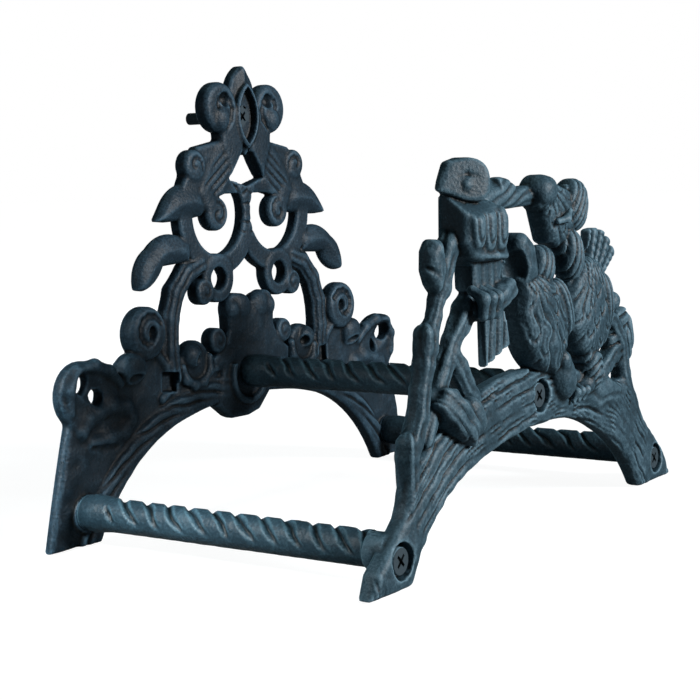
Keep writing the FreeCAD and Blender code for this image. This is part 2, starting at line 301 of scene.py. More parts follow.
# %% [markdown]
# The last forms are rings, rods, curls and all that lies beyond a plane. The wall plate is nearly the
# same on both sides, so a form for it is drawn once on the right and laid as a pair.

# %% Forms: rings, rods, curls and pairs
def ring(place, radius, wide, back, front, edge=1.6, relief=None):
    """A ring that lies in the plate, its band wide across."""
    cx, cz = place

    def field(x, y, z):
        face = front if relief is None else front + relief(x, z)
        a = np.abs(np.hypot(x - cx, z - cz) - radius) - wide / 2 + edge
        b = np.maximum(y - face, back - y) + edge
        return np.minimum(np.maximum(a, b), 0) + np.hypot(np.maximum(a, 0), np.maximum(b, 0)) - edge

    reach = radius + wide / 2
    return field, [cx - reach, back, cz - reach], [cx + reach, front + 1, cz + reach]


def rod(place, radius, back, front):
    """A round rod that stands out from the wall; it also serves as a drill."""
    cx, cz = place

    def field(x, y, z):
        return np.maximum(np.hypot(x - cx, z - cz) - radius, np.maximum(y - front, back - y))

    return field, [cx - radius, back, cz - radius], [cx + radius, front, cz + radius]


def curl(x, z, radius, start, turns, y, thick, hand=1):
    """A thin limb that winds inwards in a spiral from the angle start: a rolled edge, or its furrow."""
    count = int(12 * turns)
    stations = []
    for k in range(count + 1):
        t = k / count
        angle = math.radians(start) + hand * turns * 2 * math.pi * t
        out = radius * (1 - 0.78 * t)
        thin = thick * (1 - 0.3 * t)
        stations.append((x + out * math.cos(angle), y, z + out * math.sin(angle), thin))
    return limb(stations, join=0.8)


def beyond_plane(place, normal, low, high):
    """All that lies past a plane, between two corners; the normal points to what goes."""
    (px, py, pz), (nx, ny, nz) = place, normal
    size = math.sqrt(nx * nx + ny * ny + nz * nz)
    return lambda x, y, z: ((px - x) * nx + (py - y) * ny + (pz - z) * nz) / size, low, high


def round_pad(x, z, radius, back, front, edge=2.4):
    """A round scroll end with a soft rim."""
    turns = np.linspace(0, 2 * math.pi, 29)[:-1]
    ends = [(x + radius * math.cos(t), z + radius * math.sin(t)) for t in turns]
    return slab(ends, back, front, edge, crown=0.8)


def pair(form):
    """A form on the right and its mirror image on the left."""
    field, low, high = form
    return (lambda x, y, z: field(np.abs(x), y, z)), [-high[0], low[1], low[2]], high


# %% [markdown]
# A skin is drawn through the cells that the surface crosses: one corner in each such cell, at the middle
# of its crossings, and one face across each crossed edge. Metaballs or a Remesh modifier could draw it
# too, but the cells keep the furrows sharp and the skin closed. Flat stretches need few faces, so a
# Decimate modifier then thins the mesh where it is smooth.

# %% From clay to mesh
CORNERS = [(i, j, k) for i in (0, 1) for j in (0, 1) for k in (0, 1)]
EDGES = [(a, b) for a in range(8) for b in range(a + 1, 8) if sum(abs(p - q) for p,
    q in zip(CORNERS[a], CORNERS[b])) == 1]


def skin_of(clay):
    """The surface of the clay as corners in drawing millimetres and four-sided faces."""
    d = clay.d
    nx, ny, nz = d.shape
    inside = d < 0
    corner = [inside[i:nx - 1 + i, j:ny - 1 + j, k:nz - 1 + k] for i, j, k in CORNERS]
    total = sum(c.astype(np.int8) for c in corner)
    cells = np.argwhere((total > 0) & (total < 8))
    p, q, r = cells.T
    values = np.stack([d[p + i, q + j, r + k] for i, j, k in CORNERS], axis=1)
    place = np.zeros((len(cells), 3))
    crossings = np.zeros(len(cells))
    for a, b in EDGES:
        crossed = (values[:, a] < 0) != (values[:, b] < 0)
        fall = np.where(crossed, values[:, a] - values[:, b], 1)
        t = np.where(crossed, values[:, a] / fall, 0)
        pa, pb = np.array(CORNERS[a], float), np.array(CORNERS[b], float)
        place += np.where(crossed[:, None], pa + t[:, None] * (pb - pa), 0)
        crossings += crossed
    place = clay.low + VOXEL * (cells + place / crossings[:, None])
    index = np.full((nx - 1, ny - 1, nz - 1), -1, dtype=np.int64)
    index[tuple(cells.T)] = np.arange(len(cells))
    faces = []
    for axis in range(3):
        u, v = (axis + 1) % 3, (axis + 2) % 3
        near = [slice(1, n - 1) for n in d.shape]
        near[axis] = slice(0, d.shape[axis] - 1)
        far = list(near)
        far[axis] = slice(1, d.shape[axis])
        first, second = inside[tuple(near)], inside[tuple(far)]
        spots = np.argwhere(first != second)
        leaving = first[tuple(spots.T)]
        spots = spots + [0 if k == axis else 1 for k in range(3)]
        quad = []
        for du, dv in ((-1, -1), (0, -1), (0, 0), (-1, 0)):
            cell = spots.copy()
            cell[:, u] += du
            cell[:, v] += dv
            quad.append(index[tuple(cell.T)])
        quad = np.stack(quad, axis=1)
        quad[~leaving] = quad[~leaving][:, ::-1]
        faces.append(quad)
    return place, np.concatenate(faces)


def mesh_object(name, points, faces, most):
    """A smooth-shaded object from drawing points and four-sided faces, of at most so many triangles."""
    mesh = bpy.data.meshes.new(name)
    mesh.vertices.add(len(points))
    mesh.vertices.foreach_set("co", to_scene(points).ravel())
    flipped = faces[:, ::-1]
    mesh.loops.add(flipped.size)
    mesh.loops.foreach_set("vertex_index", flipped.ravel().astype(np.int32))
    mesh.polygons.add(len(flipped))
    mesh.polygons.foreach_set("loop_start", np.arange(0, flipped.size, 4, dtype=np.int32))
    mesh.update(calc_edges=True)
    mesh.validate()
    obj = bpy.data.objects.new(name, mesh)
    bpy.context.scene.collection.objects.link(obj)
    if 2 * len(faces) > most:
        thin = obj.modifiers.new("Thin", "DECIMATE")
        thin.ratio = most / (2 * len(faces))
        settle(obj)
    obj.data.polygons.foreach_set("use_smooth", np.ones(len(obj.data.polygons), dtype=bool))
    print(name, "faces", len(faces), "kept", len(obj.data.polygons))
    return obj


def settle(obj):
    """Applies what the modifiers do and removes them."""
    bpy.context.view_layer.update()
    evaluated = obj.evaluated_get(bpy.context.evaluated_depsgraph_get())
    mesh = bpy.data.meshes.new_from_object(evaluated)
    obj.modifiers.clear()
    obj.data = mesh
    return obj


# %% [markdown]
# The wall plate is laid in the order of the real pattern: first the flat panels, then what stands proud
# of them. A roped border runs along the arch. It could be modelled strand by strand, but a rule on the
# distance to the arch's edge keeps it following the curve.

# %% Wall plate: the panels
ARCH_EDGE = arc((0, 40.5), (34, 38.6), (62, 33), 6) + arc((62, 33), (92, 17), (116.5, SOLE), 12)


def path_distance(x, z, path):
    """Distance to an open path."""
    near = np.full(np.broadcast(x, z).shape, 1e9)
    for (ax, az), (bx, bz) in zip(path, path[1:]):
        ex, ez = bx - ax, bz - az
        t = np.clip(((x - ax) * ex + (z - az) * ez) / (ex * ex + ez * ez), 0, 1)
        near = np.minimum(near, (x - ax - ex * t) ** 2 + (z - az - ez * t) ** 2)
    return np.sqrt(near)


def leg_relief(x, z):
    """A roped border along the arch, and a slightly uneven panel above it."""
    x = np.abs(x)
    off = path_distance(x, z, ARCH_EDGE)
    border = np.clip((13.0 - off) / 2.0, 0, 1) * np.clip((x - 12) / 10, 0, 1)
    strands = furrow((off - 0.22 * x + 0.8 * noise(x / 9, z / 9, 0, 4)) / 4.6, 0.2)
    strands = strands * np.clip((off - 3.5) / 2, 0, 1)
    return border * (2.2 - 1.2 * strands) + 0.45 * noise(x / 5, z / 5, 0, 3) * (1 - 0.5 * border)


wall = Clay((-152, -1.5, -16), (152, 18, 209))
legs = outline((0, 40.5), ((34, 38.6), (62, 33)), ((92, 17), (116.5, SOLE)), (147, SOLE),
    ((140.5, 14), (132.5, 43)), (129, 52), (101, 57), (98, 67), (76, 76), (69, 86), (63, 84), (59, 66),
    (20, 60), (0, 60))
ear = outline((101, 56), ((110, 67), (121.6, 70.6)), ((137, 60), (133.5, 45)), (128, 38), (112, 42),
    (101, 50))
crown = outline((0, 55), (31, 55), (31, 62), (24, 66), (18.5, 75), (19, 86), ((15, 92), (8, 91.5)),
    (3, 90), (0, 88))
wall.lay(slab(whole(legs), 0, 5.8, 2.4, relief=leg_relief), 0.8)
wall.lay(pair(slab(ear, 0, 6.4, 1.6, relief=leg_relief)), 1.0)
wall.lay(slab(whole(crown), 0, 7.4, 1.6, crown=0.8, relief=lambda x, z: 0.4 * noise(x / 5, z / 5, 0, 6)),
    1.0)
wall.tell("panels")

# %% [markdown]
# Above the panels stands open work: two eye rings, the straps that cross over them, a neck up to the leaf
# and a bent bar on each side. The straps' ribs and the rings' short cuts are shallow, so they are part of
# the slabs' relief. The window between the straps is cut last.

# %% Wall plate: rings, straps and side bars
crossing = outline((0, 136), (0, 146.5), (13, 150), (5, 163), (20, 168), (37, 165), (44, 158), (48, 148),
    (44, 140), (30, 139), (16, 142))
neck = outline((3, 162), (3, 178), (13, 190), (21, 178), (20, 166), (13, 151))
side_bar = [(60.5, 3.7, 56, 5.4), (62, 3.7, 70, 5.7), (61, 3.7, 84, 5.7), (56.5, 3.7, 96, 5.6),
    (48, 3.8, 105, 5.4), (38, 3.8, 108.5, 5.0)]
window = [(-14, 149.5), (0, 145.5), (14, 149.5), (4.5, 162.5), (-4.5, 162.5)]


def straps(x, z):
    """Ribs across the straps, from the neck down to the ring."""
    x = np.abs(x)
    away = path_distance(x, z, [(7, 170), (24, 150), (30, 141)])
    along = (170 - z) - 0.7 * x
    ribs = 0.9 * furrow(along / 4.6, 0.16) * np.clip((7 - away) / 2, 0, 1)
    return 0.8 * np.clip((10 - away) / 3, 0, 1) - ribs


def ring_cuts(x, z):
    """Short cuts round the inner half of each eye ring."""
    turn = np.degrees(np.arctan2(z - 132.3, x - 23))
    return -0.7 * furrow(turn / 14.0, 0.12) * (x < 14) * (z > 122)


wall.lay(pair(ring((23, 132.3), 25.2, 10.6, 0, 7.0, 1.8, relief=ring_cuts)), 1.2)
wall.lay(slab(whole(crossing), 0, 6.4, 1.4, crown=0.6, relief=straps), 1.2)
wall.lay(pair(slab(neck, 0, 8.2, 2.2, crown=0.8)), 1.6)
wall.lay(pair(ring((25, 101), 8.8, 6.4, 0, 7.6, 2.0)), 1.2)
wall.lay(pair(limb(side_bar, 0.84, power=2.6, join=1.0,
    skin=lambda along, turn, t: -0.7 * furrow(turn / 0.8, 0.16) * (np.abs(turn) < 1.2))), 1.0)
wall.carve(slab(window, -3, 20, 0.5), 1.0)
wall.tell("open work")

# %% [markdown]
# Every strap ends in a scroll. On the real casting it is a rolled strip, but only its end shows, so a
# round pad with a spiral furrow gives the same look. The largest scrolls are dished as well.

# %% Wall plate: scrolls
def scroll(x, z, radius, front, start, turns, hand, deep=1.3):
    """A round pad on each side, and the furrow that winds into it."""
    wall.lay(pair(round_pad(x, z, radius, 0, front, min(2.8, radius * 0.3))), 1.2)
    wall.carve(pair(curl(x, z, radius * 0.76, start, turns, front + 1.0, deep, hand)), 0.7)


scroll(20, 184, 12.4, 8.6, 250, 0.8, -1, 2.0)
wall.lay(pair(egg((20.5, 8.0, 178.5), (5.2, 3.2, 5.6))), 1.0)
wall.carve(pair(egg((17.5, 9.6, 188), (3.8, 4.6, 3.8))), 1.0)
scroll(41, 156, 7.6, 8.0, 200, 0.7, -1, 1.5)
scroll(25, 132.5, 8.4, 8.0, 80, 0.9, 1, 1.5)
wall.lay(pair(limb([(33, 4.0, 143, 5.0), (30, 4.2, 138, 5.0)], 0.8, power=3)), 1.0)
scroll(36.5, 95, 6.4, 8.0, 30, 0.8, 1, 1.1)
scroll(27.5, 70.5, 6.2, 8.0, 30, 0.8, 1, 1.1)
# the crown's two lobes on each side
for x, z, radius in ((7.6, 85.8, 6.4), (15.2, 84.6, 4.6)):
    wall.lay(pair(egg((x, 4.6, z), (radius, 4.9, radius), power=2.3)), 1.4)
# low scrolls beside the crown: a ball with a hollow, and a rolled edge that runs under it
wall.lay(pair(round_pad(44.5, 61, 11.2, 0, 6.4, 2.2)), 1.2)
wall.lay(pair(limb([(34.5, 6.2, 63, 2.2), (35, 6.4, 56.5, 2.4), (40, 6.4, 51.5, 2.4), (47, 6.4, 50.5, 2.4),
    (53, 6.4, 54, 2.3), (55, 6.2, 60, 2.0)])), 0.8)
wall.lay(pair(egg((47.5, 5.5, 65), (6.4, 5.0, 6.0))), 0.8)
wall.carve(pair(egg((44, 9.8, 63), (3.0, 4.0, 3.0))), 0.8)
# the big scroll and the knob under it
scroll(80.5, 79, 12.6, 9.2, 150, 0.95, -1, 2.1)
wall.carve(pair(egg((78.5, 10.2, 79), (3.0, 4.6, 3.6))), 1.0)
wall.lay(pair(egg((90.5, 5.2, 63.8), (8.0, 5.8, 7.4), power=2.4)), 1.2)
wall.carve(pair(egg((89.5, 10.4, 58.2), (6.4, 4.2, 3.2), 12)), 1.0)
wall.tell("scrolls")

# %% [markdown]
# Two pointed leaves hang on each side, smooth and fat, with a soft ridge along the middle. The ridge
# falls off with the distance to a spine, which is how a modeller's thumb would leave it. The ear outside
# them is a shallow bowl with a rolled edge, and a rolled loop lies on the panel under it.

# %% Wall plate: leaves and ears
upper_leaf = outline((29, 136.5), (36, 146), (44, 147.5), ((54, 146), (63, 139)), (69.5, 130.2),
    (62, 129.6), ((50, 130), (35, 131.5)))
lower_leaf = outline((46, 120), ((62, 124), (75, 118)), ((83, 110), (84, 99)), (80, 98.5),
    ((72, 101), (65, 109)), (46, 110))
for leaf, spine in ((upper_leaf, [(42, 139), (55, 138.5), (69, 130.5)]),
        (lower_leaf, [(47, 115), (64, 116.5), (76, 110), (82, 99)])):
    wall.lay(pair(slab(leaf, 0.8, 5.6, 2.6, crown=3.0, relief=lambda x, z: 1.4 * np.exp(-(path_distance(x,
        z, spine) / 5.0) ** 2))), 1.0)
loop = [(119, 33.3), (108, 34), (97, 36), (92.5, 41), (95, 46.5), (105, 48.5), (114, 47), (121, 44),
    (124.5, 39)]
wall.lay(pair(limb([(x, 4.6, z, 3.3) for x, z in loop])), 2.6)
wall.carve(pair(limb([(103, 7.4, 29.5, 1.6), (112, 7.8, 29.5, 2.0), (119, 7.4, 31, 1.4)])), 1.2)
wall.lay(pair(limb([(99, 5.6, 58, 2.2), (106, 6.2, 64.5, 2.6), (116, 6.4, 68.2, 2.8),
    (127, 6.2, 66.2, 2.8), (132.4, 5.8, 59, 2.7), (132.2, 5.4, 49, 2.5)])), 1.6)
wall.carve(pair(egg((118.5, 11.2, 57.5), (13.0, 7.0, 8.0), 36)), 1.2)
wall.lay(pair(limb([(70, 5.6, 47, 2.4), (63, 5.6, 51, 2.0), (66, 5.4, 62, 2.0), (72, 5.6, 68, 2.0)])), 1.2)
wall.tell("leaves and ears")

# %% [markdown]
# The wall screw sits in an almond-shaped recess in the leaf at the top. The rim of the recess is laid
# before its floor is cut, so that the rim stays thin and even.

# %% Wall plate: the screw leaf
screw_leaf = outline((0, 205), ((7.0, 199.5), (10.5, 191)), ((9.0, 176), (0, 160.5)))
rim = outline((0, 196.5), ((9.0, 181), (0, 164)), ((-9.0, 181), (0, 196.5)))
recess = outline((0, 194.5), ((7.0, 181), (0, 166.5)), ((-7.0, 181), (0, 194.5)))
wall.lay(slab(whole(screw_leaf), 0, 5.6, 1.6, crown=1.2,
    relief=lambda x, z: 1.8 * np.exp(-np.abs(x) / 3.0) + 0.25 * noise(x / 3, z / 3, 0, 8)), 0.8)
wall.lay(slab(rim, 1, 9.8, 1.2), 0.8)
wall.carve(slab(recess, 5.5, 14, 0.4), 0.5)
wall.tell("screw leaf")

# %% [markdown]
# Holes come next, because a core or a drill makes them after the pattern has its shape. Then come the
# round pad that carries the upper bar, and a boss behind each bar with its screw's seat. At the end the
# back is trimmed flat, and the skin is drawn.

# %% Wall plate: holes, bosses and skin
for place, radius, blend in (((25, 101), 5.6, 1.0), ((124.2, 60.6), 4.9, 0.6), ((114.6, 53.4), 3.8, 0.6)):
    wall.carve(pair(rod(place, radius, -3, 20)), blend)
wall.carve(pair(slab([(58, 49), (69, 50), (68.5, 59.5), (58.5, 58.5)], 1.9, 20, 1.0)), 0.6)
round_end = [(-30, 38), (-20.5, 31.5), (-17, 30.2), (-4, 30), (5, 32), (14.6, 41), (15, 57), (7, 66),
    (-12, 68), (-24, 60)]
wall.lay(slab(round_end, 0, 7.9, 2.4), 1.2)
wall.lay(ring((TOP_BAR[0], TOP_BAR[1] + 2), 13.5, 3.6, 3, 10.2, 1.6, relief=lambda x, z: -4.0 * (z > 58)),
    1.5)
for x, z in BARS.values():
    wall.lay(rod((x, z + 2.6), 8.4, 0, BAR_BACK - 0.1), 0.8)
    wall.carve(rod((x, z), 5.6, -3, 0.9), 0.2)
wall.carve(rod((0, WALL_SCREW_Z), 3.1, -3, 8), 0.2)
beyond_back = wall.axes[1] < 0
wall.d[:, beyond_back, :] = np.maximum(wall.d[:, beyond_back, :], 0.3)
wall_piece = mesh_object("scrolled_wall_plate", *skin_of(wall), MOST_TRIANGLES)

# %% [markdown]
# The front plate is a piece of bark-covered branch bent into an arch. Its bark is two sets of furrows that
# follow the underside of the arch, deep broad ones and fine broken ones. They fade out round the two
# outer screws, where the casting is smooth.

# %% Front plate: the arched branch
UNDERSIDE = (arc((-116.5, SOLE), (-91, 15.5), (-62, 28)) + arc((-62, 28), (-31, 34),
    (0, 36)) + arc((0, 36), (31, 34), (58, 25)) + arc((58, 25), (80, 13), (108, SOLE)))


def branch_bark(x, z):
    """Bark furrows that follow the underside of the arch."""
    near = path_distance(x, z, UNDERSIDE)
    phase = near / 6.2 + 0.5 * noise(x / 26, z / 26, 0, 11) + 0.1 * noise(x / 7, z / 7, 0, 17)
    deep = np.clip(0.5 + 0.9 * noise(x / 13, z / 9, 2, 12), 0.1, 1)
    fine = (furrow(near / 2.1 + 0.9 * noise(x / 15, z / 15, 1, 14),
        0.2) * np.clip(0.2 + 1.6 * noise(x / 6, z / 5, 3, 15), 0, 1))
    away = np.clip((np.hypot(x + BAR_HALF, z) - 13) / 6, 0, 1)
    away = away * np.clip((np.hypot(x - BAR_HALF, z) - 12) / 6, 0, 1)
    return away * (-1.8 * furrow(phase, 0.12) * deep - 0.7 * fine) + 0.35 * noise(x / 4, z / 4, 4, 13)


front = Clay((-149, 152, -16), (149, 187, 160))
branch = outline((-62, 28), ((-31, 34), (0, 36)), ((31, 34), (58, 25)), ((80, 13), (105, SOLE + 1)),
    (108, SOLE), (146, SOLE), (137, 2), (126, 11), (106, 27), (97, 38), (90, 47), (78, 45),
    ((40, 56), (0, 61)), ((-36, 62), (-68, 55)), (-101, 41), (-111, 36), (-121, 16), (-133, 5), (-142, -2),
    (-146, SOLE), (-116.5, SOLE), ((-91, 15.5), (-62, 28)))
front.lay(slab(branch, FRONT_BACK, FRONT - 1.0, 2.2, crown=1.6, relief=branch_bark), 1.0)
for x, z in BARS.values():
    front.lay(rod((x, z + 2.8), 8.0, BAR_FRONT, FRONT - 6), 0.6)
front.tell("branch")

# %% [markdown]
# Twigs grow from the branch and carry the birds. Each is a limb through a few places, whose skin has
# furrows that wander along it. Short boxy stubs at the joints look like pruned side shoots.

# %% Front plate: twigs
def bark(depth=0.8, count=5, seed=7):
    """Furrows along a limb that wander a little."""
    def skin(along, turn, t):
        phase = turn * count / (2 * math.pi) + 0.5 * noise(along / 14, turn, 0, seed)
        swell = 0.3 * noise(along / 6, turn * 1.5, 3, seed + 1)
        return swell - depth * furrow(phase, 0.2) * (0.6 + 0.4 * noise(along / 9, turn * 2, 5, seed + 2))
    return skin


def twig(*stations, depth=0.7, seed=7, blend=1.6, y=TWIG_Y, power=3.0):
    """A twig through places (x, z, radius)."""
    front.lay(limb([(x, y, z, r) for x, z, r in stations], skin=bark(depth, 5, seed), power=power,
        join=1.2), blend)


twig((-113, 6, 4.6), (-113.5, 24, 4.2), (-113.5, 40, 4.4), seed=21)
twig((-113.6, 39, 4.7), (-113.4, 44.5, 4.6), seed=35, blend=0.8, power=4.5)
twig((-111, 44, 4.6), (-105.5, 54, 4.2), (-103.2, 64, 4.1), (-100.3, 74, 4.3), (-98.6, 82, 4.4), seed=22)
twig((-98.4, 80, 4.5), (-97.9, 86.2, 4.4), seed=36, blend=0.8, power=4.5)
twig((-96.0, 86, 4.0), (-91.5, 93, 3.3), (-89, 99, 3.4), (-86.5, 104, 4.4), seed=23, blend=1.0)
twig((-86.5, 103, 4.2), (-84, 112, 4.4), (-80, 120, 4.6), (-76, 124, 4.6), seed=24, blend=1.2)
twig((-101, 44, 4.0), (-92.5, 60, 3.9), (-84, 73, 4.0), (-78.5, 81, 3.9), (-72, 87, 4.4), (-66.5, 93, 5.0),
    (-62, 97, 5.0), seed=25, blend=1.0)
twig((-80, 76, 4.4), (-75, 70, 5.2), (-69, 62, 4.6), (-62, 56, 4.2), seed=27, blend=1.0)
# the gnarled knot low on the left, and the thick twig between the two upper birds
front.lay(egg((-82, FRONT - 1, 50.5), (17.5, 7.6, 8.0), -38, power=2.6,
    skin=lambda a, o, b: (1.3 * noise(a * 3, o * 2, b * 2, 28) - 0.6 * furrow((b + 0.25 * a) / 0.6, 0.1))),
    0.8)
front.lay(egg((-71, FRONT + 1, 50), (9.0, 5.4, 4.6), -60, power=2.6), 0.6)
thick_twig = outline((-54, 139), (-47, 143.5), ((-34, 147.5), (-22, 143)), (-12, 143.4), (-6, 143),
    (-6, 134.5), (-14, 134.2), (-28, 133.6), ((-40, 132), (-50, 125)))
front.lay(slab(thick_twig, FRONT_BACK - 0.5, FRONT - 1.5, 3.0, crown=1.6,
    relief=lambda x, z: -0.7 * furrow((z - 0.35 * x) / 4.4 + 0.3 * noise(x / 9, z / 9, 0, 29), 0.2)), 1.2)
twig((110, 14, 4.6), (99, 31, 4.6), (91, 48, 4.4), (88, 62, 4.2), seed=30)
twig((89, 62, 4.4), (80, 60, 4.4), (72, 55, 4.6), (64, 50, 5.0), depth=1.0, seed=31, y=TWIG_Y - 1)
twig((86, 66, 4.6), (78, 76, 4.0), (68, 80, 4.4), seed=34)
twig((76, 40, 6.0), (64, 43, 7.0), (54, 42, 7.0), (42, 47, 6.0), depth=1.0, seed=32)
front.tell("twigs")

# %% [markdown]
# The left twig ends in a bud of two folded leaves, and a veined leaf hangs on the right. The bud's folds
# are carved with a thin limb, as a modeller cuts with a wire tool.

# %% Front plate: bud and leaf
bud = outline((-97.5, 119.5), (-94, 123.8), (-89, 123.4), (-86.8, 118), (-87, 111), (-89, 104),
    (-91.5, 101.5), (-95, 105), (-98, 111))
veined_leaf = outline((81, 53), ((101, 58), (102, 70)), ((95, 80.5), (82, 79)), ((75, 67), (81, 53)))


def veins(x, z):
    """A midrib and slanting side veins."""
    across = (x - 84) * 0.80 - (z - 54) * 0.42
    along = (x - 84) * 0.42 + (z - 54) * 0.80
    side_veins = furrow((along + 0.9 * np.abs(across)) / 6.6, 0.16)
    return -1.4 * furrow(across / 60, 0.02) - 1.7 * side_veins


front.lay(slab(bud, FRONT_BACK + 0.5, FRONT - 0.5, 3.0, crown=2.0,
    relief=lambda x, z: 0.6 * noise(x / 4, z / 4, 0, 33)), 1.0)
front.carve(limb([(-96, FRONT + 1.6, 120, 1.0), (-92.5, FRONT + 2.4, 116, 1.3),
    (-91, FRONT + 2.0, 110, 1.1)]), 0.8)
front.carve(limb([(-98, FRONT - 3.0, 112.5, 1.1), (-95, FRONT + 1.4, 110, 1.3),
    (-92, FRONT + 1.6, 105, 0.9)]), 0.8)
front.lay(slab(veined_leaf, FRONT - 9, FRONT - 2.2, 2.2, crown=2.0, relief=veins), 0.8)
front.lay(egg((78, TWIG_Y, 85), (5.0, 5.0, 4.4), 60, power=2.4), 1.0)
front.tell("bud and leaf")

# %% [markdown]
# The birds are cut from thick slabs, because in the casting their sides are nearly flat and only the
# front is rounded. Feathers are furrows that run down from the shoulder and fan out, broken by shorter
# ones across them, and a few separate eggs of clay make the wing lobes, heads and toes.

# %% Front plate: the birds
def plumage(root, first, pitch, deep=1.1, rows=7.0, seed=41):
    """Long feathers that fan out from a root point; some end in a bow before the next begins."""
    rx, rz = root

    def relief(x, z):
        out = np.hypot(x - rx, z - rz)
        turn = np.degrees(np.arctan2(z - rz, x - rx)) - first
        wander = 0.35 * noise(x / 8, z / 8, 0, seed)
        lane = turn / pitch + wander
        broken = np.clip(0.45 + 1.1 * noise(out / 9, lane * 0.9, 1, seed + 1), 0, 1)
        bow = np.abs(lane % 1 - 0.5)
        row = furrow(out / rows + 1.2 * bow * bow + 0.37 * np.floor(lane), 0.07)
        fine = furrow(lane * 3.1 + 0.4 * noise(x / 5, z / 5, 2, seed), 0.24)
        return -deep * furrow(lane, 0.16) * broken - 0.8 * deep * row * (1 - broken) - 0.25 * deep * fine
    return relief


def chevrons(a, o, b):
    """Long slanting feathers on the drooping wing."""
    return -1.3 * furrow((0.55 * a + b) / 0.46, 0.14) * np.clip((o + 0.4) * 2, 0, 1)


def hand(x, z, seed):
    return 0.45 * noise(x / 4, z / 4, 0, seed)


# %% [markdown]
# The first bird perches on the left twig and is nearly a box. Three long lobes make its wing, the lower
# body is cut back behind them, and the chest slopes so that the head throws a shadow on it.

# %% Front plate: the perched bird
body = outline((-79, 141), (-79.5, 121), (-75, 115), (-67, 111), (-66.5, 101), (-60, 98.5), (-50, 98),
    (-43.5, 104), (-41.8, 112), (-45.5, 120), ((-49, 134), (-58, 139)), (-66, 143))
front.lay(slab(body, 162.5, 177.5, 3.2, crown=1.8, relief=lambda x, z: hand(x, z, 42)), 0.8)
for x, z, long, turn in ((-72.4, 128, 9.6, 92), (-63.2, 127.5, 10.6, 90), (-53, 126.5, 9.4, 86)):
    front.lay(egg((x, 177.6, z), (long, 3.6, 4.8), turn, power=2.6,
        skin=lambda a, o, b: -1.0 * furrow(np.hypot(np.minimum(a + 0.1, 0), b) - 0.5, 0.12)), 0.4)
front.lay(limb([(-69, 177.5, 115.8, 1.5), (-58, 178.5, 115.2, 1.7), (-46.5, 177, 114.6, 1.4)]), 0.6)
front.carve(slab([(-82, 95), (-82, 113.2), (-43, 113.2), (-43, 95)], 173.5, 190, 0.5), 2.0)
for x in (-73.5, -67, -60.5, -54.5, -49.5):
    front.carve(limb([(x, 174.6, 112.5, 1.3), (x + 0.8, 174.2, 101, 1.4)]), 0.8)
front.carve(beyond_plane((-65, 178.6, 134), (-0.1, 0.60, 0.80), (-90, 168, 132), (-42, 186, 148)), 1.2)
head = outline((-83.5, 142.6), (-82, 147), (-77.5, 154.6), (-70, 156), ((-63.5, 153.4), (-60.2, 147)),
    (-60.5, 141), (-66, 137.6), (-74, 138.6), (-79, 141))
front.lay(slab(head, 163.2, 178.6, 3.4, crown=1.0, relief=lambda x, z: hand(x, z, 47)), 1.0)
front.carve(beyond_plane((-83.0, 166.5, 148), (-0.56, 0.82, 0.16), (-95, 160, 142), (-58, 184, 160)), 1.6)
front.carve(limb([(-75.5, 172.0, 148.6, 0.8), (-72.0, 174.5, 149.4, 1.0), (-68.5, 177.0, 148.2, 0.8)]), 0.5)
front.lay(egg((-71.0, 173.6, 144.6), (3.4, 2.0, 2.8), 0), 1.0)
tail = [(-55.5, 102), (-38.5, 102), (-33.6, 75.5), (-54.5, 68)]
front.lay(slab(tail, 167.2, 172.0, 0.7,
    relief=lambda x, z: -1.6 * furrow((x + 55 + 0.10 * (100 - z)) / 6.2, 0.17) + 0.2 * noise(x / 2, z / 6,
    0, 48)), 0.6)
for x in (-68.0, -61.8, -56.4):
    front.lay(limb([(x - 0.5, 173, 101.5, 2.2), (x, 178.2, 98.0, 2.5), (x + 0.6, 177.4, 91.0, 2.2)]), 0.4)
front.tell("perched bird")

# %% [markdown]
# The second bird hangs head down in the middle. It has a hollow hood above its shoulder, and a stub of
# twig that is laid after the hollow, so that the carving doesn't cut it.

# %% Front plate: the middle bird
hood = outline((-31, 104), (-31.5, 117), ((-29, 122.5), (-23, 122.5)), ((-17, 118), (-14.5, 111)),
    (-13, 103), (-24, 100))
front.lay(slab(hood, 163.5, 176, 3.0, crown=2.2, relief=lambda x, z: hand(x, z, 50)), 1.0)
front.carve(egg((-31.5, 175.5, 107.0), (9.5, 8.5, 6.0), 96), 1.2)
front.lay(limb([(-64, 174, 92.5, 4.6), (-57, 174.5, 94, 4.7), (-48, 174.5, 97.6, 4.7),
    (-40.5, 174.5, 100.6, 4.5)], skin=bark(0.5, 5, 26), power=3), 0.8)
middle_body = outline((-27, 104), (-26.5, 92), ((-23, 76), (-10, 62)), (4, 58), (12, 66),
    ((17, 80), (13, 92)), (4, 101), (-6, 104.5))
front.lay(slab(middle_body, 162.5, 175.5, 3.4, crown=4.6, relief=plumage((-34, 128), -84, 7.0, 1.5, 15.0,
    51)), 0.8)
front.lay(egg((-4, 170.6, 107.5), (9.6, 7.4, 8.2), 90, power=2.3,
    skin=lambda a, o, b: -0.9 * furrow((b + 0.4 * a) / 0.5, 0.16)), 1.0)
front.lay(egg((9.5, 174.0, 88), (14.5, 6.6, 5.4), 112, power=2.4,
    skin=lambda a, o, b: -0.8 * furrow(b / 0.55 + 0.1, 0.2)), 0.6)
front.lay(egg((13.5, 171.0, 56.5), (12.6, 8.0, 8.0), 118, power=2.4,
    skin=lambda a, o, b: 0.3 * noise(a * 3, o * 3, b * 3, 55)), 1.2)
front.lay(egg((9.0, 177.0, 64.0), (4.6, 3.0, 3.6), 110), 1.0)
front.tell("middle bird")

# %% [markdown]
# The third bird sits at the top and looks along the thick twig. Its wing and its drooping tail are eggs
# with slanting feathers.

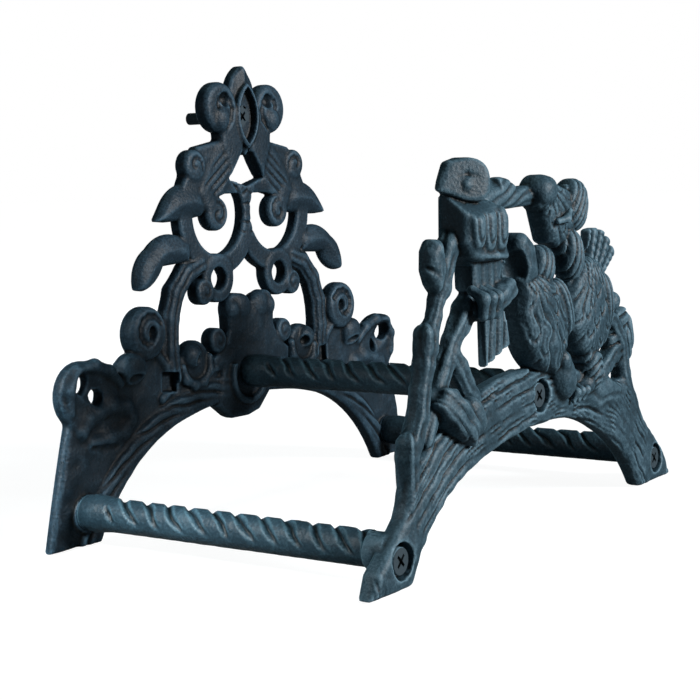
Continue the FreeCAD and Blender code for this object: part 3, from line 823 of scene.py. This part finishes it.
# %% Front plate: the bird at the top
trunk = outline((-8, 134), (-3.5, 131.5), (3, 117.5), (12, 114.5), (27, 121), ((34, 128), (33, 138)),
    ((18, 142), (4, 146)), ((-5, 147.5), (-11, 142)))
front.lay(slab(trunk, 163.5, 174.5, 3.2, crown=2.8, relief=plumage((-6, 146), -58, 12.0, 1.2, 10.0, 59)),
    0.8)
front.lay(egg((-2.5, 171.5, 141), (7.6, 7.2, 6.4), 10, power=2.4), 1.0)
front.carve(limb([(2, 178.5, 146, 1.0), (4.5, 179.5, 140, 1.2), (3.5, 178.5, 133, 1.0)]), 0.6)
front.lay(egg((27.5, 171.5, 133.5), (12.4, 7.6, 9.6), 84, power=2.4,
    skin=lambda a, o, b: -0.9 * furrow((b + 0.6 * a) / 0.36, 0.2)), 0.6)
front.lay(limb([(4, 177, 127.0, 1.4), (10, 178.5, 128.0, 1.6), (14, 178, 131.5, 1.2)]), 0.5)
front.lay(egg((21.5, 172.4, 111.5), (12.6, 7.8, 8.4), 100, power=2.2, skin=chevrons), 0.6)
front.tell("bird at the top")

# %% [markdown]
# The fourth bird hangs head down on the right with its tail spread. The tail is a thin slab, and slots
# that fan out from its root part the feathers.

# %% Front plate: the bird on the right
right_body = outline((32, 66), (24.5, 76), (22.5, 86), (24.5, 97), ((30, 104), (38, 108.5)),
    ((52, 107), (60, 97)), ((66.5, 85), (64, 73)), (58, 66), (48, 62), (38, 62))
front.lay(slab(right_body, 162.5, 174.5, 3.4, crown=4.6, relief=plumage((44, 122), -112, 8.0, 1.4, 14.0,
    63)), 0.8)
front.lay(egg((56.5, 173.5, 87), (14.0, 6.0, 5.4), 96, power=2.4,
    skin=lambda a, o, b: -0.8 * furrow(b / 0.6, 0.2)), 0.6)
front.lay(egg((44.5, 170.8, 56.5), (11.8, 8.2, 7.8), 100, power=2.4,
    skin=lambda a, o, b: -1.0 * furrow((a + 0.5 * b * b) / 0.34 + 0.2 * noise(a * 3, b * 3, o, 66), 0.2)),
    1.0)
front.lay(limb([(40, 172, 49, 5.0), (33, 172.5, 46.5, 3.0), (27, 172.5, 47, 2.0)]), 0.8)
for x in (24, 29, 34):
    front.lay(limb([(x + 3, 171, 50, 1.5), (x + 1, 175.5, 47.5, 1.6), (x - 1, 174.5, 43.5, 1.3)]), 0.4)
fan = outline((53, 121), ((66, 121), (78, 114)), ((81.5, 109.5), (79.5, 105)), (71, 97), (53, 99))


def spread(x, z):
    turn = np.degrees(np.arctan2(z - 84, x - 46))
    out = np.hypot(x - 46, z - 84)
    return np.clip((out - 14) / 6, 0, 1) * (-3.6 * furrow(turn / 10.5, 0.17) - 0.5 * furrow(out / 4.0,
        0.16))


front.lay(slab(fan, FRONT - 8.5, FRONT - 3, 0.9, crown=0.8, relief=spread), 0.6)
front.tell("bird on the right")

# %% [markdown]
# The seats of the three screws come last, so that no feather runs into them: a round recess, a dark ring
# round the head and a hole for the shank. Then the skin is drawn.

# %% Front plate: screw seats and skin
for bar_x, bar_z in BARS.values():
    front.carve(rod((bar_x, bar_z), 6.8, FRONT - 1.4, FRONT + 12), 0.4)
    front.carve(ring((bar_x, bar_z), 6.6, 2.0, FRONT - 5.5, FRONT + 12, 0.3), 0.3)
    front.carve(rod((bar_x, bar_z), 3.4, BAR_FRONT - 5, FRONT), 0.2)
front_piece = mesh_object("bird_front_plate", *skin_of(front), MOST_TRIANGLES)

# %% [markdown]
# The bars are cast like twigs: a smooth knob at the wall, and then slanting cuts along the upper half all
# the way to the front. The cuts repeat along the bar, so Geometry Nodes make them. A tube of fine faces is
# laid along the bar, and each point moves in or out by a rule with named inputs: the pitch, depth and
# slant of the cuts, and the size of the knob.

# %% Bars by Geometry Nodes
def node(tree, kind, links=(), **settings):
    """Adds a node with its settings and links; a link is (input, socket or value)."""
    made = tree.nodes.new(kind)
    for key, value in settings.items():
        setattr(made, key, value)
    for key, value in links:
        if isinstance(value, bpy.types.NodeSocket):
            tree.links.new(value, made.inputs[key])
        else:
            made.inputs[key].default_value = value
    return made


BAR_INPUTS = {"Length": 0.1495, "Radius": 0.0075, "Knob Radius": 0.0009, "Knob Length": 0.015,
    "Cut Pitch": 0.0125, "Cut Depth": 0.0020, "Cut Slant": 0.95, "Roughness": 0.0005, "Seed": 1.0}


# Each rule names a result, a Math operation and what it works on: first the slanting cuts, a groove
# wherever along, sheared by the turn about the bar, passes a whole pitch; then the knob, a smooth hump
# near the wall; then both together.
BAR_RULES = (
    ("turn", "ARCTAN2", "across", "up"), ("shear", "MULTIPLY", "turn", "Cut Slant"),
    ("shear", "MULTIPLY", "shear", "Radius"), ("phase", "ADD", "along", "shear"),
    ("phase", "DIVIDE", "phase", "Cut Pitch"), ("stray", "MULTIPLY", "wander", 0.7),
    ("phase", "ADD", "phase", "stray"), ("nearest", "ROUND", "phase"),
    ("gap", "SUBTRACT", "phase", "nearest"), ("gap", "ABSOLUTE", "gap"),
    ("gap", "MULTIPLY", "gap", 4.5), ("groove", "SUBTRACT", 1.0, "gap"),
    ("groove", "MAXIMUM", "groove", 0.0), ("groove", "POWER", "groove", 1.2),
    ("groove", "MULTIPLY", "groove", "upper"), ("depth", "MULTIPLY", "past knob", "Cut Depth"),
    ("cut", "MULTIPLY", "groove", "depth"), ("middle", "MULTIPLY", "Knob Length", 0.45),
    ("hump", "SUBTRACT", "along", "middle"), ("spread", "MULTIPLY", "Knob Length", 0.42),
    ("hump", "DIVIDE", "hump", "spread"), ("hump", "MULTIPLY", "hump", "hump"),
    ("hump", "MULTIPLY", "hump", -1.0), ("hump", "EXPONENT", "hump"),
    ("knob", "MULTIPLY", "hump", "Knob Radius"), ("rough", "SUBTRACT", "grain", 0.5),
    ("rough", "MULTIPLY", "rough", "Roughness"), ("swell", "SUBTRACT", "knob", "cut"),
    ("swell", "ADD", "swell", "rough"),
)


def bar_tree():
    tree = bpy.data.node_groups.new("Bark bar", "GeometryNodeTree")
    face = tree.interface
    for name, value in BAR_INPUTS.items():
        face.new_socket(name, in_out="INPUT", socket_type="NodeSocketFloat").default_value = value
    face.new_socket("Finish", in_out="INPUT", socket_type="NodeSocketMaterial")
    face.new_socket("Geometry", in_out="OUTPUT", socket_type="NodeSocketGeometry")
    given = tree.nodes.new("NodeGroupInput").outputs
    tube = node(tree, "GeometryNodeMeshCylinder", [("Vertices", 96), ("Side Segments", 300),
        ("Radius", given["Radius"]), ("Depth", given["Length"])], fill_type="TRIANGLE_FAN")
    spot = node(tree, "GeometryNodeInputPosition").outputs[0]
    part = node(tree, "ShaderNodeSeparateXYZ", [(0, spot)]).outputs
    half = node(tree, "ShaderNodeMath", [(0, given["Length"]), (1, 0.5)], operation="MULTIPLY").outputs[0]
    along = node(tree, "ShaderNodeMath", [(0, part[2]), (1, half)], operation="ADD").outputs[0]
    seed = ("W", given["Seed"])
    wander = node(tree, "ShaderNodeTexNoise", [("Vector", spot), seed, ("Scale", 60.0), ("Detail", 1.0)],
        noise_dimensions="4D").outputs[0]
    grain = node(tree, "ShaderNodeTexNoise", [("Vector", spot), seed, ("Scale", 170.0), ("Detail", 3.0)],
        noise_dimensions="4D").outputs[0]
    upper = node(tree, "ShaderNodeMapRange", [("Value", part[1]), ("From Min", -0.003),
        ("From Max", 0.002)], interpolation_type="SMOOTHSTEP").outputs[0]
    past_knob = node(tree, "ShaderNodeMapRange", [("Value", along), ("From Min", 0.014),
        ("From Max", 0.019)], interpolation_type="SMOOTHSTEP").outputs[0]
    known = {"across": part[0], "up": part[1], "along": along, "wander": wander, "grain": grain,
        "upper": upper, "past knob": past_knob}
    known.update((name, given[name]) for name in BAR_INPUTS)
    for name, how, *values in BAR_RULES:
        inputs = [(k, known.get(value, value)) for k, value in enumerate(values)]
        known[name] = node(tree, "ShaderNodeMath", inputs, operation=how).outputs[0]
    flat = node(tree, "ShaderNodeCombineXYZ", [(0, part[0]), (1, part[1])]).outputs[0]
    outward = node(tree, "ShaderNodeVectorMath", [(0, flat)], operation="NORMALIZE").outputs[0]
    move = node(tree, "ShaderNodeVectorMath", [(0, outward), ("Scale", known["swell"])],
        operation="SCALE").outputs[0]
    moved = node(tree, "GeometryNodeSetPosition", [("Geometry", tube.outputs["Mesh"]), ("Offset", move)])
    real = node(tree, "GeometryNodeRealizeInstances", [(0, moved.outputs[0])])
    smooth = node(tree, "GeometryNodeSetShadeSmooth", [(0, real.outputs[0])])
    done = node(tree, "GeometryNodeSetMaterial", [("Geometry", smooth.outputs[0]),
        ("Material", given["Finish"])])
    node(tree, "NodeGroupOutput", [("Geometry", done.outputs[0])])
    return tree


def hex_colour(text):
    """An sRGB hex value as linear red, green, blue and alpha."""
    parts = [int(text[k:k + 2], 16) / 255 for k in (1, 3, 5)]
    return tuple(c / 12.92 if c <= 0.04045 else ((c + 0.055) / 1.055) ** 2.4 for c in parts) + (1.0,)


# %% [markdown]
# The finish is a thin blue-black paint on sand-cast iron. The sand leaves a fine grain about half a
# millimetre across and a slower unevenness of a few millimetres. The hollows are painted darker and a
# little green as painted shade, and the high places are paler and greyer where the paint wears thin.

# %% Painted cast iron
def cast_iron(name, dark, body, high, rough=0.5, grit=1.0):
    finish = bpy.data.materials.new(name)
    finish.use_nodes = True
    tree = finish.node_tree
    shader = tree.nodes["Principled BSDF"]
    place = node(tree, "ShaderNodeTexCoord").outputs["Object"]
    cloud = node(tree, "ShaderNodeTexNoise", [("Vector", place), ("Scale", 55.0),
        ("Detail", 4.0)]).outputs["Fac"]
    grain = node(tree, "ShaderNodeTexNoise", [("Vector", place), ("Scale", 900.0), ("Detail", 3.0),
        ("Roughness", 0.65)]).outputs["Fac"]
    pits = node(tree, "ShaderNodeTexVoronoi", [("Vector", place), ("Scale", 620.0)]).outputs["Distance"]
    # pointiness: hollows take the dark end of the ramp as painted shade, edges the pale end as wear
    point = node(tree, "ShaderNodeNewGeometry").outputs["Pointiness"]
    hollow_shade_and_edge_wear = node(tree, "ShaderNodeMapRange", [("Value", point), ("From Min", 0.465),
        ("From Max", 0.56)]).outputs[0]
    tone = node(tree, "ShaderNodeMath", [(0, cloud), (1, 0.35), (2, -0.25)],
        operation="MULTIPLY_ADD").outputs[0]
    for part, share in ((hollow_shade_and_edge_wear, 0.75), (grain, 0.5)):
        tone = node(tree, "ShaderNodeMath", [(0, part), (1, share), (2, tone)],
            operation="MULTIPLY_ADD").outputs[0]
    # the dark colour gives the painted shade in the hollows as well as the darker patches of the paint
    ramp = node(tree, "ShaderNodeValToRGB", [("Fac", tone)])
    ramp.color_ramp.elements[0].position = 0.15
    ramp.color_ramp.elements[0].color = hex_colour(dark)
    ramp.color_ramp.elements[1].position = 0.95
    ramp.color_ramp.elements[1].color = hex_colour(high)
    ramp.color_ramp.elements.new(0.5).color = hex_colour(body)
    tree.links.new(ramp.outputs["Color"], shader.inputs["Base Color"])
    sheen = node(tree, "ShaderNodeMapRange", [("Value", cloud), ("To Min", rough - 0.08),
        ("To Max", rough + 0.12)]).outputs[0]
    tree.links.new(sheen, shader.inputs["Roughness"])
    sand = node(tree, "ShaderNodeBump", [("Height", grain), ("Strength", 0.45 * grit),
        ("Distance", 0.0005)]).outputs[0]
    sand = node(tree, "ShaderNodeBump", [("Height", pits), ("Strength", 0.25 * grit), ("Distance", 0.0006),
        ("Normal", sand)]).outputs[0]
    waves = node(tree, "ShaderNodeBump", [("Height", cloud), ("Strength", 0.35), ("Distance", 0.0015),
        ("Normal", sand)]).outputs[0]
    tree.links.new(waves, shader.inputs["Normal"])
    shader.inputs["Specular IOR Level"].default_value = 0.22
    return finish


# the wall plate's copy of the paint is darker than the front plate's: painted shade for the front plate's
# shadow on it
wall_iron_in_shade = cast_iron("Blue-black paint on sand-cast iron, wall plate", "#03080B", "#182833", "#405B6D")
front_iron = cast_iron("Blue-black paint on sand-cast iron, front plate", "#040B0E", "#273C47", "#5C7785")
bar_iron = cast_iron("Blue-black paint on sand-cast iron, bars", "#040B0E", "#1D2F39", "#45616E", 0.46)
screw_black = cast_iron("Blackened steel of the screws", "#070B0D", "#141C20", "#2E3A41", 0.5, 0.3)
for piece, finish in ((wall_piece, wall_iron_in_shade), (front_piece, front_iron)):
    piece.data.materials.append(finish)

# %% [markdown]
# Each bar takes its tube from the tree, with a seed of its own, so that no two have the same grain. The
# result is turned to run out from the wall and becomes a plain mesh.

# %% The three bars
bar_group = bar_tree()


def bar_piece(name, place, seed):
    x, z = place
    mesh = bpy.data.meshes.new("bark_bar_" + name)
    obj = bpy.data.objects.new("bark_bar_" + name, mesh)
    bpy.context.scene.collection.objects.link(obj)
    growth = obj.modifiers.new("Bark", "NODES")
    growth.node_group = bar_group
    for item in bar_group.interface.items_tree:
        if item.in_out == "INPUT" and item.name == "Seed":
            growth[item.identifier] = float(seed)
        if item.in_out == "INPUT" and item.name == "Finish":
            growth[item.identifier] = bar_iron
    settle(obj)
    middle = to_scene((x, (BAR_BACK + BAR_FRONT) / 2, z + 3.6))
    # the tube's z runs from the wall outwards, and its y points up
    lie = Matrix(((1, 0, 0), (0, 0, -1), (0, 1, 0))).to_4x4()
    obj.data.transform(Matrix.Translation(Vector(middle)) @ lie)
    return obj


bar_pieces = {name: bar_piece(name, place, 3 + 5 * k) for k, (name, place) in enumerate(BARS.items())}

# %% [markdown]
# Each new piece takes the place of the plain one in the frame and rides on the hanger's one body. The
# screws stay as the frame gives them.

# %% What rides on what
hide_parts("wall_plate")
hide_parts("front_plate")
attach(wall_piece, "root")
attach(front_piece, "root")
for name, piece in bar_pieces.items():
    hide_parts("bar_" + name)
    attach(piece, "root")
for name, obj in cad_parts.items():
    if "screw" in name:
        obj.data.materials.clear()
        obj.data.materials.append(screw_black)

# %% [markdown]
# The camera stands where the photographer stood, close to the hanger, low and to its left. Its place and
# lens were solved from the straight bars and the screws, and it is rolled by a degree or so.

# %% Camera
CAMERA_PLACE = (-0.6405, -0.4931, -0.029)
CAMERA_TURN, CAMERA_LIFT, CAMERA_ROLL = (math.radians(v) for v in (-56.331, 6.360, -1.434))
back = Vector((math.sin(CAMERA_TURN) * math.cos(CAMERA_LIFT),
    -math.cos(CAMERA_TURN) * math.cos(CAMERA_LIFT), math.sin(CAMERA_LIFT)))
level = Vector((math.cos(CAMERA_TURN), math.sin(CAMERA_TURN), 0))
up = back.cross(level)
right = math.cos(CAMERA_ROLL) * level + math.sin(CAMERA_ROLL) * up
up = -math.sin(CAMERA_ROLL) * level + math.cos(CAMERA_ROLL) * up
camera_data = bpy.data.cameras.new("Photo view")
camera_data.lens = 81.97
camera = bpy.data.objects.new("Photo view", camera_data)
camera.matrix_world = Matrix.Translation(CAMERA_PLACE) @ Matrix((right, up, back)).transposed().to_4x4()
bpy.context.scene.collection.objects.link(camera)
bpy.context.scene.camera = camera

# %% [markdown]
# The object stands on a pale floor in a white room. Both look white in the picture, but the room gives
# only a dim blue-green light, so that the sides stay dark as in the photograph. A lamp in front and
# above lights the birds and the arch, and the front plate shades the lower wall plate behind it. A small
# lamp on the left with a narrow beam picks out the left bar, and a weak one farther off fills the edges.
# The lamp behind shows the backs in other views; it isn't seen in reflections, where it would glare.

# %% Floor and light
floor_mesh = bpy.data.meshes.new("pale_floor")
floor_z = cad_box[0][2] - 0.0004
reach = 8.0
floor_mesh.from_pydata([(x, y, floor_z) for x, y in ((-reach, -reach), (reach, -reach), (reach, reach),
    (-reach, reach))], [], [(0, 1, 2, 3)])
floor = bpy.data.objects.new("pale_floor", floor_mesh)
bpy.context.scene.collection.objects.link(floor)
pale = bpy.data.materials.new("Pale studio floor")
pale.use_nodes = True
tree = pale.node_tree
surface = tree.nodes["Principled BSDF"]
surface.inputs["Base Color"].default_value = hex_colour("#5C6264")
surface.inputs["Roughness"].default_value = 0.9
surface.inputs["Emission Color"].default_value = (1, 1, 1, 1)
seen = node(tree, "ShaderNodeLightPath").outputs["Is Camera Ray"]
far = node(tree, "ShaderNodeVectorMath", [(0, node(tree, "ShaderNodeTexCoord").outputs["Object"])],
    operation="LENGTH")
glow = node(tree, "ShaderNodeMapRange", [("Value", far.outputs["Value"]), ("From Min", 0.4),
    ("From Max", 1.6), ("To Min", 0.93), ("To Max", 1.0)]).outputs[0]
shown = node(tree, "ShaderNodeMath", [(0, seen), (1, glow)], operation="MULTIPLY").outputs[0]
tree.links.new(shown, surface.inputs["Emission Strength"])
floor_mesh.materials.append(pale)

world = bpy.data.worlds.new("Studio")
bpy.context.scene.world = world
world.use_nodes = True
tree = world.node_tree
room = tree.nodes["Background"]
room.inputs["Color"].default_value = (0.62, 0.86, 0.90, 1)
room.inputs["Strength"].default_value = 0.012
white = node(tree, "ShaderNodeBackground", [("Color", (1, 1, 1, 1)), ("Strength", 1.0)])
seen = node(tree, "ShaderNodeLightPath").outputs["Is Camera Ray"]
sky = node(tree, "ShaderNodeMixShader", [(0, seen), (1, room.outputs[0]), (2, white.outputs[0])])
tree.links.new(sky.outputs[0], tree.nodes["World Output"].inputs["Surface"])


def softbox(name, place, aim, size, watts, colour, spread=160):
    data = bpy.data.lights.new(name, "AREA")
    data.spread = math.radians(spread)
    data.size = size
    data.energy = watts
    data.color = colour
    lamp = bpy.data.objects.new(name, data)
    lamp.location = place
    lamp.rotation_euler = (Vector(aim) - Vector(place)).to_track_quat("-Z", "Y").to_euler()
    bpy.context.scene.collection.objects.link(lamp)
    return lamp


CENTRE = (0.0, -0.09, -0.09)
softbox("Front", (0.24, -1.38, 0.40), CENTRE, 0.28, 25, (1.0, 1.0, 1.0))
softbox("Left", (-0.46, 0.0, 0.12), (-0.128, -0.06, -0.185), 0.08, 0.19, (0.92, 0.99, 1.0), 30)
softbox("Far left", (-1.1, 0.25, 0.15), CENTRE, 0.4, 0.9, (0.84, 0.94, 1.0))
softbox("Above", (0.0, 0.1, 1.2), CENTRE, 0.5, 1.2, (0.72, 1.0, 0.90))
back_lamp = softbox("Behind", (0.62, 1.25, 0.12), CENTRE, 0.5, 18, (1.0, 1.0, 1.0))
back_lamp.visible_glossy = False
bpy.context.scene.view_settings.view_transform = "Standard"
